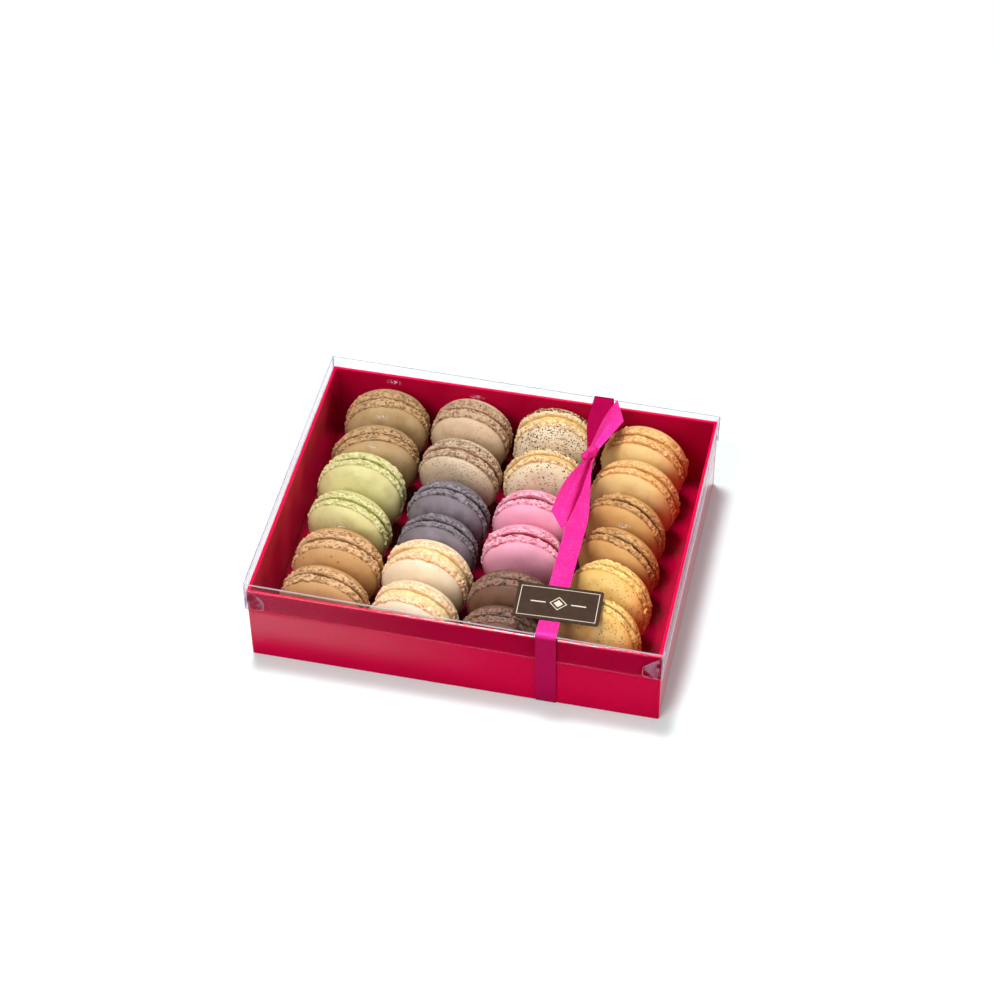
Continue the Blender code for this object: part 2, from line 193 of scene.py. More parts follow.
# Rows from left to right and back to front: flavour, x and y of the middle in mm, how far it leans back
# and is turned in degrees, diameter and thickness in mm
ROWS = [
    [("coffee", -72.9, 66.7, -2, -9, 46.4, 25.4),
     ("coffee", -72.0, 39.1, -3, -11, 47.2, 23.4),
     ("pistachio", -73.2, 13.4, 5, 0, 48.0, 23.6),
     ("pistachio", -73.6, -11.6, -2, 8, 45.8, 23.4),
     ("caramel", -71.9, -42.0, -2, -1, 47.2, 26.0),
     ("caramel", -72.5, -67.0, -3, 2, 47.0, 23.2)],
    [("light_brown", -25.9, 70.4, -2, 4, 44.8, 26.4),
     ("speckled_brown", -24.9, 39.4, -5, 6, 45.2, 25.2),
     ("violet", -24.4, 8.2, 1, 3, 43.6, 23.8),
     ("violet", -24.7, -15.0, 1, 3, 42.6, 21.8),
     ("vanilla", -24.4, -40.8, 2, 4, 46.6, 27.8),
     ("vanilla", -24.2, -69.4, -2, 8, 46.4, 27.2)],
    [("flecked_cream", 21.4, 69.8, 4, -2, 45.6, 27.4),
     ("flecked_cream", 21.0, 42.0, 5, -8, 43.8, 24.2),
     ("pink", 22.2, 10.4, 0, 2, 44.6, 23.6),
     ("pink", 21.6, -14.4, -4, -4, 44.0, 24.0),
     ("chocolate", 22.4, -48.9, -1, -1, 45.6, 23.2),
     ("chocolate", 22.2, -72.4, -3, -1, 44.0, 23.2)],
    [("lemon", 71.2, 66.8, -4, 8, 47.2, 25.4),
     ("lemon", 70.8, 40.2, 0, 9, 47.8, 23.6),
     ("ginger", 69.8, 16.1, 1, 15, 45.4, 22.0),
     ("ginger", 71.2, -8.1, -3, 18, 45.0, 22.2),
     ("yellow", 71.2, -36.4, 14, 16, 46.8, 22.0),
     ("yellow", 70.6, -62.9, 16, 12, 46.2, 23.0)],
]

# Flavour: filling thickness in mm, then paints of crown, rim of the crown, foot, the painted shade of its
# pits and the filling
FLAVOURS = {
    "coffee": (0.9, (194, 165, 120), (174, 142, 98), (186, 148, 102), (94, 60, 30), (96, 62, 34)),
    "pistachio": (1.5, (224, 218, 156), (210, 198, 136), (214, 204, 148), (140, 154, 52), (146, 154, 48)),
    "caramel": (1.3, (204, 160, 108), (194, 146, 92), (211, 170, 122), (132, 78, 38), (128, 78, 40)),
    "light_brown": (1.3, (224, 196, 164), (206, 176, 142), (186, 151, 118), (104, 64, 42), (124, 78, 46)),
    "speckled_brown": (1.6, (218, 194, 166), (212, 188, 156), (192, 162, 132), (108, 72, 48), (140, 92, 58)),
    "violet": (1.5, (142, 130, 138), (120, 108, 114), (134, 124, 128), (20, 17, 20), (46, 40, 44)),
    "vanilla": (4.0, (240, 222, 190), (240, 216, 184), (243, 210, 166), (226, 160, 96), (244, 222, 160)),
    "flecked_cream": (3.8, (236, 216, 184), (224, 200, 164), (234, 204, 154), (196, 132, 70),
                      (234, 200, 116)),
    "pink": (2.0, (244, 168, 192), (242, 164, 186), (245, 172, 190), (190, 20, 56), (148, 4, 36)),
    "chocolate": (0.9, (128, 90, 69), (110, 75, 56), (144, 108, 89), (24, 14, 12), (30, 22, 22)),
    "lemon": (2.0, (232, 202, 140), (226, 184, 118), (230, 182, 118), (184, 118, 50), (216, 160, 72)),
    "ginger": (1.3, (208, 162, 100), (204, 152, 86), (206, 156, 98), (106, 60, 28), (82, 48, 28)),
    "yellow": (1.5, (242, 210, 134), (232, 182, 96), (242, 208, 130), (196, 140, 48), (214, 178, 78)),
}
DOME_HEIGHT = 6.9 * MM       # from the top of a shell's foot to its crown
DOME_POWER = 3.3             # how square the dome's shoulder is
FOOT_FLARE = 1.0 * MM        # how far a foot stands out past its dome
FILLING_REACH = 0.91         # share of the macaron's radius
FILLING_TUCK = 0.25 * MM     # how far it goes in under each lip
BASE_CARD = 1.8 * MM         # the tray's base, on which the macarons stand
GAP = 0.3 * MM               # left under each of them
AROUND = 330                 # points round a shell
FOOT_RINGS = 24              # rings of points up its foot
DOME_RINGS = 9               # and over its dome
FILLING_AROUND = 160         # the same for the filling
FILLING_RINGS = 9
MAP_EDGE = 0.02              # share of a shell's unrolled map that each of its two caps takes


def ease(t):
    """Ease from 0 to 1."""
    t = np.clip(t, 0, 1)
    return t * t * (3 - 2 * t)


def ring_noise(turn, height, lumps, layers, rng):
    """Soft noise from -1 to 1 that closes round a ring: so many lumps round it, so many layers up it."""
    table = rng.uniform(-1, 1, (layers + 2, lumps))
    along = turn / math.tau * lumps
    up = np.clip(height, 0, 1) * layers
    i = np.floor(along).astype(int)
    j = np.floor(up).astype(int)
    s = ease(along - i)
    t = ease(up - j)
    i0, i1 = i % lumps, (i + 1) % lumps
    low = table[j, i0] * (1 - s) + table[j, i1] * s
    high = table[j + 1, i0] * (1 - s) + table[j + 1, i1] * s
    return low * (1 - t) + high * t


def crumbs(turn, height, lumps, layers, rng):
    """Crumb round a foot: how far each place is from its crumb's middle, and that crumb's own number."""
    spots = rng.uniform(0.1, 0.9, (layers + 3, lumps, 2))
    number = rng.uniform(0, 1, (layers + 3, lumps))
    along = turn / math.tau * lumps
    up = np.clip(height, 0, 1) * layers + 1
    i = np.floor(along).astype(int)
    j = np.floor(up).astype(int)
    nearest = np.full(along.shape, np.inf)
    owner = np.zeros(along.shape)
    for di in (-1, 0, 1):
        for dj in (-1, 0, 1):
            row = np.clip(j + dj, 0, layers + 2)
            place = (i + di) % lumps
            away = np.hypot(i + di + spots[row, place, 0] - along, j + dj + spots[row, place, 1] - up)
            owner = np.where(away < nearest, number[row, place], owner)
            nearest = np.minimum(nearest, away)
    return nearest, owner


def new_object(name, data):
    """An object of this mesh, light or camera, put into the scene."""
    made = bpy.data.objects.new(name, data)
    bpy.context.scene.collection.objects.link(made)
    return made


def ring_sides(rings, around, closed=False):
    """The faces between one ring of points and the next. Closed, the last ring is joined to the first."""
    i = np.arange(around)
    j = (i + 1) % around
    low = np.arange(rings if closed else rings - 1)[:, None] * around
    high = (low + around) % (rings * around)
    return np.stack((low + i, low + j, high + j, high + i), axis=2).reshape(-1, 4).tolist()


def unroll(mesh, points):
    """Map the rings of points out flat, with the triangles of the two caps along its ends."""
    rings, around = points.shape[:2]
    along = np.linalg.norm(np.diff(points, axis=0), axis=2).mean(axis=1)
    v = np.concatenate(([0], np.cumsum(along))) / along.sum() * (1 - 2 * MAP_EDGE) + MAP_EDGE
    i = np.arange(around)
    r = np.repeat(np.arange(rings - 1), around)
    k = np.tile(i, rings - 1)
    sides = np.stack((np.stack((k, k + 1, k + 1, k), axis=1) / around,
                      np.stack((v[r], v[r], v[r + 1], v[r + 1]), axis=1)), axis=2)
    low = np.stack((np.stack((i + 0.5, i + 1, i), axis=1) / around,
                    np.tile((0, MAP_EDGE, MAP_EDGE), (around, 1))), axis=2)
    high = np.stack((np.stack((i + 0.5, i, i + 1), axis=1) / around,
                     np.tile((1, 1 - MAP_EDGE, 1 - MAP_EDGE), (around, 1))), axis=2)
    corners = np.concatenate([part.reshape(-1) for part in (sides, low, high)])
    mesh.uv_layers.new(name="OFBake").data.foreach_set("uv", corners)


def grid_piece(name, points, marks, finish):
    """A closed mesh over rings of points, capped at both ends, with named marks at its points."""
    rings, around = points.shape[:2]
    count = rings * around
    i = np.arange(around)
    j = (i + 1) % around
    low_cap = np.stack((np.full(around, count), j, i), axis=1)
    high_cap = np.stack((np.full(around, count + 1), count - around + i, count - around + j), axis=1)
    verts = np.concatenate((points.reshape(-1, 3), [points[0].mean(axis=0), points[-1].mean(axis=0)]))
    mesh = bpy.data.meshes.new(name)
    mesh.from_pydata(verts.tolist(), [], ring_sides(rings, around) + low_cap.tolist() + high_cap.tolist())
    for mark, values in marks.items():
        in_caps = (values[0].mean(), values[-1].mean())
        layer = mesh.attributes.new(mark, "FLOAT", "POINT")
        layer.data.foreach_set("value", np.concatenate((values.reshape(-1), in_caps)))
    unroll(mesh, points)
    mesh.materials.append(finish)
    mesh.shade_smooth()
    return new_object(name, mesh)


def shell(name, size, thickness, filling, rng, finish):
    """One shell, crown towards +Z and its foot's lip towards the filling at z = filling / 2."""
    radius = size / 2
    dome_radius = radius - FOOT_FLARE
    lip = filling / 2
    foot_top = thickness / 2 - DOME_HEIGHT
    foot = foot_top - lip

    # Profile: from under the lip out to the foot's widest, in under the dome, and over the dome to its crown
    t = np.linspace(0, 1, FOOT_RINGS)
    knots = (0, 0.07, 0.16, 0.40, 0.74, 0.88, 0.94, 1)
    foot_reach = np.interp(t, knots, (radius * 0.86, radius - 1.2 * MM, radius - 0.4 * MM, radius - 0.1 * MM,
                                      radius - 0.2 * MM, radius - 0.5 * MM, dome_radius - 0.3 * MM,
                                      dome_radius - 1.3 * MM))
    foot_rise = np.interp(t, knots, (0, 0, 0.05, 0.34, 0.76, 0.93, 0.97, 0.98)) * foot + lip
    phi = np.linspace(0.03, 1, DOME_RINGS) ** 1.2 * math.pi / 2 * 0.997
    dome_reach = dome_radius * np.cos(phi) ** (2 / DOME_POWER)
    dome_rise = foot_top + DOME_HEIGHT * np.sin(phi)
    turn = np.linspace(0, math.tau, AROUND, endpoint=False)[None, :]
    reach = np.concatenate((foot_reach, dome_reach))[:, None] + 0 * turn
    rise = np.concatenate((foot_rise, dome_rise))[:, None] + 0 * turn
    share = np.concatenate((t, 1 + phi))[:, None] + 0 * turn       # 0 to 1 up the foot, then over the dome
    turn = turn + 0 * reach
    in_foot = share <= 1
    up = np.clip(share, 0, 1)

    def wander(lumps):
        return ring_noise(turn, 0 * up, lumps, 1, rng)

    # The foot's swells, lumps, crumbs, splits and holes
    body = ease((up - 0.03) / 0.12) * ease((1.0 - up) / 0.06) * in_foot
    swell = ring_noise(turn, up, 24, 2, rng)
    lump = ring_noise(turn, up, 58, 4, rng)
    crumb = ring_noise(turn, up, 128, 9, rng)
    split = 1 - ease(np.abs(ring_noise(turn, up, 44, 6, rng)) / 0.22)
    split *= ease(ring_noise(turn, up, 30, 3, rng) + 0.5)
    middle, number = crumbs(turn, up, 84, 5, rng)
    hole = ease((number - 0.66) / 0.05) * (1 - ease((middle - 0.18) / 0.28))
    reach += body * (0.26 * swell + 0.32 * lump + 0.44 * crumb - 0.45 * split - 0.95 * hole) * MM
    rise += body * 0.34 * MM * ring_noise(turn, up, 90, 5, rng)

    # Three places where it ran out further in the oven
    for _ in range(3):
        away = np.abs((turn - rng.uniform(0, math.tau) + math.pi) % math.tau - math.pi)
        reach += body * rng.uniform(0.2, 0.9) * MM * np.exp(-(away / rng.uniform(0.15, 0.4)) ** 2)

    # Its ragged edge under the dome, and the wavy lip that stays clear of the other shell
    hang = ease((up - 0.45) / 0.4) * ease((1 - up) / 0.08) * in_foot
    rise += hang * (0.65 * wander(27) + 0.65 * wander(74)) * MM
    reach += hang * 0.35 * MM * wander(88)
    wave = np.maximum(wander(11) * 0.45 + wander(41) * 0.28, -0.1)
    rise += ease((0.5 - up) / 0.5) * in_foot * wave * MM * min(1, filling / (2 * MM) + 0.2)

    # No shell is quite round, and no dome quite even
    slow = 0.6 * np.sin(2 * turn + rng.uniform(0, 6)) + 0.4 * np.sin(3 * turn + rng.uniform(0, 6))
    reach *= 1 + 0.007 * slow - 0.004
    over = np.clip((share - 1) / 1.5, 0, 1)
    rise -= (share > 1) * ease(over * 3) * 0.12 * MM * (1 + ring_noise(turn, over, 7, 3, rng))

    points = np.stack((reach * np.cos(turn), reach * np.sin(turn), rise), axis=2)

    # What the crust's finish needs to know at each point. The pits' mark is where painted shade goes: in
    # crevices, holes, the broken line under the dome and the foot under the lip. The light mark is where a
    # painted highlight goes, on the crumbs that stand out
    low_crumb = ease((-0.25 - 0.5 * lump - 0.6 * crumb) / 0.3)
    crevice = body * np.maximum(np.maximum(0.9 * split, hole), 0.55 * low_crumb)
    # Painted shade along the broken line where the foot meets the dome, and under the lip
    gap = np.exp(-((share - 0.97) / 0.055) ** 2) * (0.55 + 0.6 * wander(61))
    under = ease((0.10 - up) / 0.08) * in_foot
    marks = {
        "foot": np.where(in_foot, 1.0, 1 - ease((share - 1.0) / 0.06)),
        "pit": np.clip(np.maximum(np.maximum(crevice, gap), under), 0, 1),
        # Painted highlight on the crumbs that stand out furthest
        "light": body * ease(0.5 + 0.35 * lump + 0.45 * crumb),
        "rim": np.where(in_foot, 1.0, 1 - ease((share - 1) / 0.9)),
    }
    return grid_piece(name, points, marks, finish)


def cream(name, size, filling, rng, finish):
    """The layer of filling, a slightly lumpy disc reaching just under both lips."""
    radius = size / 2 * FILLING_REACH
    across = np.linspace(-1, 1, FILLING_RINGS)[:, None]
    turn = np.linspace(0, math.tau, FILLING_AROUND, endpoint=False)[None, :] + 0 * across
    height = (across + 1) / 2 + 0 * turn
    bulge = 0.35 * MM * (1 - across ** 2)
    lumps = ring_noise(turn, height, 37, 2, rng) * 0.30 * MM
    lumps += ring_noise(turn, height, 13, 1, rng) * 0.45 * MM
    reach = radius + bulge + lumps
    rise = across * (filling / 2 + FILLING_TUCK) + 0 * turn
    reach = np.concatenate((reach[:1] * 0.6, reach, reach[-1:] * 0.6))
    rise = np.concatenate((rise[:1], rise, rise[-1:]))
    turn = np.concatenate((turn[:1], turn, turn[-1:]))
    points = np.stack((reach * np.cos(turn), reach * np.sin(turn), rise), axis=2)
    return grid_piece(name, points, {}, finish)


def toned(colour, tone):
    """A paint at this share of a colour's strength."""
    return paint(*[tone * value for value in colour])


def crust_finish(flavour):
    """Dry, faintly grained crust, porous in the foot, with painted shade in its pits, painted highlights on
    its crumbs, and painted red bounce light that makes it browner near the right wall.
    """
    crown, rim, foot, pit = FLAVOURS[flavour][1:5]
    material, tree, shader, place = new_finish(flavour + "_crust", 0.58, IOR=1.4)
    in_foot, in_pit_shade, lit, at_rim = [node(tree, "Attribute", attribute_name=mark).outputs["Fac"]
                                    for mark in ("foot", "pit", "light", "rim")]
    mottle = ramp(tree, noise(tree, place, 130, 3), 0.35, 0.75)
    grain = noise(tree, place, 1500, 3, 0.6)
    dome = blend_paint(tree, at_rim, paint(*crown), paint(*rim))
    dome = blend_paint(tree, mottle, dome, toned(rim, 0.97))
    # Painted highlight: crumbs that stand out are lighter than the rest of the foot
    bright = paint(*[min(255, 1.05 * value + 7) for value in foot])
    crumb = blend_paint(tree, lit, toned(foot, 0.94), bright)
    crumb = blend_paint(tree, ramp(tree, grain, 0.4, 1.0), crumb, paint(*rim))
    skin = blend_paint(tree, in_foot, dome, crumb)
    # Painted light: red light bounced off the right wall makes the shells near it browner and redder
    right = ramp(tree, node(tree, "SeparateXYZ", {0: place}).outputs[0], 76 * MM, 98 * MM)
    wall_bounce_tint = paint(*[tone * value for tone, value in zip((0.98, 0.72, 0.60), foot)])
    skin = blend_paint(tree, product(tree, right, 0.75), skin, wall_bounce_tint)
    # Painted shade: the pits' paint darkens crevices, holes, the line under the dome and the foot under the
    # lip
    skin = blend_paint(tree, product(tree, in_pit_shade, 0.92), skin, paint(*pit))
    tree.links.new(skin, shader.inputs["Base Color"])
    emboss(tree, shader, product(tree, grain, scaled(tree, in_foot, 0.9, 0.12)), 0.6, 0.4 * MM)
    return material


def cream_finish(flavour):
    """Moist filling, a little glossy."""
    colour = FLAVOURS[flavour][5]
    material, tree, shader, place = new_finish(flavour + "_filling", 0.38, IOR=1.45)
    lumps = noise(tree, place, 500, 3)
    tree.links.new(blend_paint(tree, ramp(tree, lumps, 0.35, 0.7), paint(*colour), toned(colour, 0.86)),
                   shader.inputs["Base Color"])
    emboss(tree, shader, lumps, 0.4, 0.5 * MM)
    return material


crusts = {flavour: crust_finish(flavour) for flavour in FLAVOURS}
creams = {flavour: cream_finish(flavour) for flavour in FLAVOURS}
face_back = Matrix.Rotation(-math.pi / 2, 4, "X")
face_front = Matrix.Rotation(math.pi / 2, 4, "X")
macarons = []
for row_number, row in enumerate(ROWS, start=1):
    for place_number, (flavour, x, y, lean, turned, size, thickness) in enumerate(row, start=1):
        name = f"macaron_{row_number}_{place_number}_{flavour}"
        stand = Matrix.Rotation(math.radians(-turned), 4, "Z") @ Matrix.Rotation(math.radians(-lean), 4, "X")
        middle = Matrix.Translation((x * MM, y * MM, 0)) @ stand
        filling = FLAVOURS[flavour][0] * MM
        rng = np.random.default_rng(100 * row_number + place_number)
        layers = [shell(name + "_back", size * MM, thickness * MM, filling, rng, crusts[flavour]),
                  cream(name + "_filling", size * MM, filling, rng, creams[flavour]),
                  shell(name + "_front", size * MM, thickness * MM, filling, rng, crusts[flavour])]
        for layer, facing in zip(layers, (face_back, face_back, face_front)):
            layer.data.transform(middle @ facing)
        lift = BASE_CARD + GAP - min(min(vert.co.z for vert in layer.data.vertices) for layer in layers)
        for layer in layers:
            layer.data.transform(Matrix.Translation((0, 0, lift)))
            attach(layer, "root")
            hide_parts(name)
        macarons.append(layers)

# Flecks: chopped cocoa nib strewn on two macarons, and fine specks of spice or pod baked into the crust of
# others. Each kind is one piece, and every fleck is half sunk in the crust.
FLECK_HEIGHT = 0.35          # how far a fleck stands out, as a share of its width
LEAST_HEIGHT = 0.10 * MM
FLECK_ROUGHNESS = 0.28       # how far its corners are off a round grain, as a share of its size


def strewn(shells, count, length, width, rng, thick):
    """Places for flecks on the upper feet and the domes of these shells. thick says how thick they lie where.

    Gives the flecks' middles, and how far each reaches from there along, across and out.
    """
    low_rings = FOOT_RINGS // 2                                        # the foot's bare lower half
    middles, normals, weights = [], [], []
    for piece in shells:
        faces = piece.data.polygons
        strewn_faces = slice(low_rings * AROUND, (FOOT_RINGS + DOME_RINGS - 1) * AROUND)
        foot_share = 0.3 if piece.name.endswith("_front") else 5       # on the foot for 1 on the dome
        shares = np.repeat((foot_share, 1), ((FOOT_RINGS - low_rings) * AROUND, (DOME_RINGS - 1) * AROUND))
        point = np.empty(3 * len(piece.data.vertices))
        normal = np.empty(3 * len(faces))
        area = np.empty(len(faces))
        piece.data.vertices.foreach_get("co", point)
        faces.foreach_get("normal", normal)
        faces.foreach_get("area", area)
        corner = point.reshape(-1, 3)[np.array([face.vertices[:] for face in faces[strewn_faces]])]
        s, t = rng.uniform(0, 1, (2, len(corner), 1))
        middles.append(corner[:, 0] + s * (corner[:, 1] - corner[:, 0]) + t * (corner[:, 3] - corner[:, 0]))
        normals.append(normal.reshape(-1, 3)[strewn_faces])
        weights.append(area[strewn_faces] * shares * thick(middles[-1], piece))
    middles, normals, weights = np.concatenate(middles), np.concatenate(normals), np.concatenate(weights)
    picked = rng.choice(len(weights), count, p=weights / weights.sum())
    out = normals[picked]
    along = np.cross(out, rng.normal(0, 1, (count, 3)))
    along /= np.linalg.norm(along, axis=1)[:, None]
    across = np.cross(out, along)
    long = rng.uniform(*length, count)[:, None]
    wide = np.minimum(rng.uniform(*width, count)[:, None], long)
    high = np.maximum(wide * FLECK_HEIGHT, LEAST_HEIGHT)
    return middles[picked], along * long / 2, across * wide / 2, out * high


def thick_on_top(middles, piece):
    """Flecks lie thick near the top of the front shells, thinner lower down, and behind only near the top."""
    thick = 2.4 if piece.name.startswith("macaron_3_1") else 1.0
    if piece.name.endswith("_back"):
        return 1.4 * thick * (0.05 + ease((middles[:, 2] - 28 * MM) / (12 * MM)))
    return thick * (0.3 + 1.4 * ease((middles[:, 2] - 20 * MM) / (26 * MM)))


def thick_on_right(middles, piece):
    """Specks lie thickest on the right of the front shells."""
    thick = 1.0 if piece.name.endswith("_front") else 0.4
    return thick * (0.35 + ease((middles[:, 0] - 62 * MM) / (22 * MM)))


def fleck_piece(name, nodes, spots, finish, rng):
    """One mesh of small rough grains at these places."""
    grain_shape = bmesh.new()
    bmesh.ops.create_icosphere(grain_shape, subdivisions=1, radius=1)
    grain = np.array([vert.co for vert in grain_shape.verts])
    sides = np.array([[vert.index for vert in face.verts] for face in grain_shape.faces])
    grain_shape.free()
    middle, along, across, out = spots
    count = len(middle)
    local = grain[None] * (1 + rng.uniform(-FLECK_ROUGHNESS, FLECK_ROUGHNESS, (count, len(grain), 1)))
    points = (middle[:, None] + local[..., :1] * along[:, None] + local[..., 1:2] * across[:, None]
              + local[..., 2:] * out[:, None])
    faces = (sides[None] + (np.arange(count) * len(grain))[:, None, None]).reshape(-1, 3)
    mesh = bpy.data.meshes.new(name)
    mesh.from_pydata(points.reshape(-1, 3).tolist(), [], faces.tolist())
    mesh.materials.append(finish)
    mesh.shade_smooth()
    piece = new_object(name, mesh)
    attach(piece, "root")
    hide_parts(*nodes)


def fleck_finish(name, first, second):
    """Dry dark crumbs of two shades."""
    material, tree, shader, place = new_finish(name, 0.7, IOR=1.2)
    mixed = blend_paint(tree, ramp(tree, noise(tree, place, 420, 2), 0.4, 0.6), paint(*first), paint(*second))
    tree.links.new(mixed, shader.inputs["Base Color"])
    return material


def shells_of(flavour):
    """The shells of this flavour, back and front, and the names of their nodes."""
    found, nodes = [], []
    for back, _, front in macarons:
        name = back.name[:-len("_back")]
        if name.split("_", 3)[3] == flavour:
            found += [back, front]
            nodes.append(name)
    return found, nodes


# Kind, flavour, how many, least and greatest length and width in mm, and the two shades
rng = np.random.default_rng(7)
for kind, flavour, count, length, width, first, second in (
        ("nib", "flecked_cream", 3600, (0.35, 1.1), (0.4, 0.9), (66, 45, 30), (150, 112, 78)),
        ("herb", "speckled_brown", 1700, (0.3, 0.8), (0.25, 0.5), (70, 66, 44), (122, 108, 76)),
        ("bean", "light_brown", 110, (0.4, 0.8), (0.3, 0.5), (58, 46, 30), (86, 66, 44)),
        ("pod", "yellow", 1100, (0.4, 0.9), (0.3, 0.55), (92, 56, 26), (142, 92, 44)),
        ("toffee", "caramel", 90, (0.6, 1.6), (0.5, 1.2), (164, 92, 44), (184, 112, 58)),
        ("seed", "vanilla", 70, (0.35, 0.7), (0.3, 0.5), (190, 130, 80), (206, 148, 96)),
        ("grain", "lemon", 60, (0.35, 0.6), (0.3, 0.45), (178, 124, 70), (196, 140, 84)),
        ("speck", "coffee", 50, (0.35, 0.6), (0.3, 0.45), (96, 66, 38), (110, 78, 48))):
    shells, nodes = shells_of(flavour)
    spots = strewn(shells, count, [size * MM for size in length], [size * MM for size in width], rng,
                   thick_on_right if kind == "pod" else thick_on_top)
    fleck_piece(kind + "_flecks", nodes, spots, fleck_finish(kind + "_crumb", first, second), rng)

# Clear lid: one sheet of stiff film, scored and folded down on four sides, riding a little high on the left.
# A tab at each end of the front and back walls is glued over the corner. The film turns milky where it is
# folded.
LID_TOP = 52.5 * MM          # height of its upper face in the middle
LID_TILT = math.radians(0.9)
LID_LENGTH = 217.2 * MM
LID_WIDTH = 175.2 * MM
LID_WALL = 18.4 * MM
FILM = 0.3 * MM
FOLD = 0.45 * MM             # how far a fold is rounded
SCUFFS = [(-70.1, 46.1), (-69.6, 22.7), (-70.5, -37.9), (-23.1, 72.9), (-70.0, 74.4),
          (72.8, -4.5)]      # x, y in mm
SCUFF_SQUEEZE = 2.5          # a scuff is this many times as wide as it is deep
TAB = [(0, 1.5), (10, 10.5), (10.3, 16.3), (8.4, 18.2), (0, 18.2)]     # in from a corner and down, in mm
TAB_ROUND = 1.1 * MM         # radius of its free corners
TAB_INSET = 0.35 * MM        # from the corner of the lid

# Rings of points of a tab: out of the lid's wall and in from its own outline in mm, and how milky it is there
TAB_RINGS = [(0.02, 0, 0.0), (0.28, 0, 0.38), (0.28, 0.63, 0.03), (0.26, 0.84, 0.0)]

# The film is drawn upside down and level, with its top at z = 0 and its walls going up
lid_place = (Matrix.Translation((LID_WALL * math.sin(LID_TILT) / 2, 0, LID_TOP))
             @ Matrix.Rotation(LID_TILT, 4, "Y") @ Matrix.Rotation(math.pi, 4, "X"))


def lid_height(x):
    """Height of the lid's upper face at this x."""
    return LID_TOP - math.tan(LID_TILT) * x


def film_finish(name, marks_of, milk_paint):
    """Clear film. marks_of gives its milkiness, its shade and its share of gloss at each place."""
    material = bpy.data.materials.new(name)
    material.use_nodes = True
    tree = material.node_tree
    tree.nodes.remove(tree.nodes["Principled BSDF"])
    milk, shade, glossy = marks_of(tree, node(tree, "TexCoord").outputs["Object"])
    clear = node(tree, "BsdfTransparent", {"Color": shade}).outputs[0]
    milky = node(tree, "BsdfDiffuse", {"Color": milk_paint}).outputs[0]
    body = node(tree, "MixShader", {0: milk, 1: clear, 2: milky}).outputs[0]
    shine = node(tree, "BsdfGlossy", {"Color": (1, 1, 1, 1), "Roughness": 0.06}).outputs[0]
    slant = node(tree, "Fresnel", {"IOR": 1.08}).outputs[0]
    outside = join(tree, "SUBTRACT", 1.0, node(tree, "NewGeometry").outputs["Backfacing"])
    both = node(tree, "MixShader", {0: product(tree, slant, glossy, outside), 1: body, 2: shine}).outputs[0]
    tree.links.new(both, tree.nodes["Material Output"].inputs["Surface"])
    return material


def lid_marks(tree, place):
    """The lid's creases, cut edge and scuffs are milky, its ends carry painted highlights in milky streaks,
    and its walls are a little darker than the top.

    Only the top's outer face is glossy.
    """
    x, y, down = node(tree, "SeparateXYZ", {0: place}).outputs
    from_end = join(tree, "SUBTRACT", LID_LENGTH / 2, unsigned(tree, x))
    from_side = join(tree, "SUBTRACT", LID_WIDTH / 2, unsigned(tree, y))

    # How far it is to the nearest crease, where two of the lid's faces meet
    crease = least(tree, most(tree, from_side, down), most(tree, from_end, down),
                   most(tree, from_end, from_side))
    folded = ramp(tree, crease, 0.75 * MM, 0.4 * MM)
    cut = ramp(tree, down, LID_WALL - 0.35 * MM, LID_WALL - 0.1 * MM)
    wall = ramp(tree, down, 0.4 * MM, 1.0 * MM)
    front = ramp(tree, y, LID_WIDTH * 0.47, LID_WIDTH * 0.49)

    # Scuffs on the top, each broken up into small marks
    squeezed = node(tree, "VectorMath", {0: place, 1: (1, SCUFF_SQUEEZE, 0)}, operation="MULTIPLY").outputs[0]
    near = 1.0
    for scuff_x, scuff_y in SCUFFS:
        spot = (scuff_x * MM, -SCUFF_SQUEEZE * scuff_y * MM, 0)
        away = node(tree, "VectorMath", {0: squeezed, 1: spot}, operation="DISTANCE").outputs["Value"]
        near = least(tree, away, near)
    scuffed = product(tree, ramp(tree, near, 5 * MM, 1 * MM),
                      ramp(tree, noise(tree, squeezed, 700, 2), 0.56, 0.62), 0.5)

    # Painted highlights in milky streaks along the end walls, and a thin painted sheen on the left of the
    # front wall
    drawn_out = node(tree, "VectorMath", {0: place, 1: (0, 6, 220)}, operation="MULTIPLY").outputs[0]
    streaks = scaled(tree, ramp(tree, noise(tree, drawn_out, 1, 2), 0.4, 0.7), 0.35, 0.1)
    end_wall_painted_highlight = product(tree, streaks, ramp(tree, from_end, 1.3 * MM, 0.7 * MM))
    front_painted_sheen = product(tree, front, wall, ramp(tree, x, 0, -112 * MM), 0.02)
    # Creases are milky, and more so along the front, where the extra milk is a painted highlight
    milk = most(tree, product(tree, folded, scaled(tree, front, 0.24, 0.14)), product(tree, cut, 0.08),
                scuffed, end_wall_painted_highlight, front_painted_sheen)

    # Shades: darker where the front wall hangs over the card, and grey in the creases, which is painted shade
    # for the dark line a fold shows
    level = scaled(tree, x, math.tan(LID_TILT), down)
    on_card = ramp(tree, level, LID_TOP - TRAY_HEIGHT - 0.9 * MM, LID_TOP - TRAY_HEIGHT + 0.1 * MM)
    front_shade = blend_paint(tree, on_card, (0.97, 0.95, 0.965, 1), (0.89, 0.87, 0.89, 1))
    side_shade = blend_paint(tree, front, (0.975, 0.97, 0.98, 1), front_shade)
    shade = blend_paint(tree, wall, (0.985, 0.985, 0.99, 1), side_shade)
    crease_painted_shade = blend_paint(tree, front, (0.56, 0.53, 0.58, 1), (0.86, 0.83, 0.87, 1))
    return milk, blend_paint(tree, folded, shade, crease_painted_shade), ramp(tree, down, 0.28 * MM, 0.2 * MM)


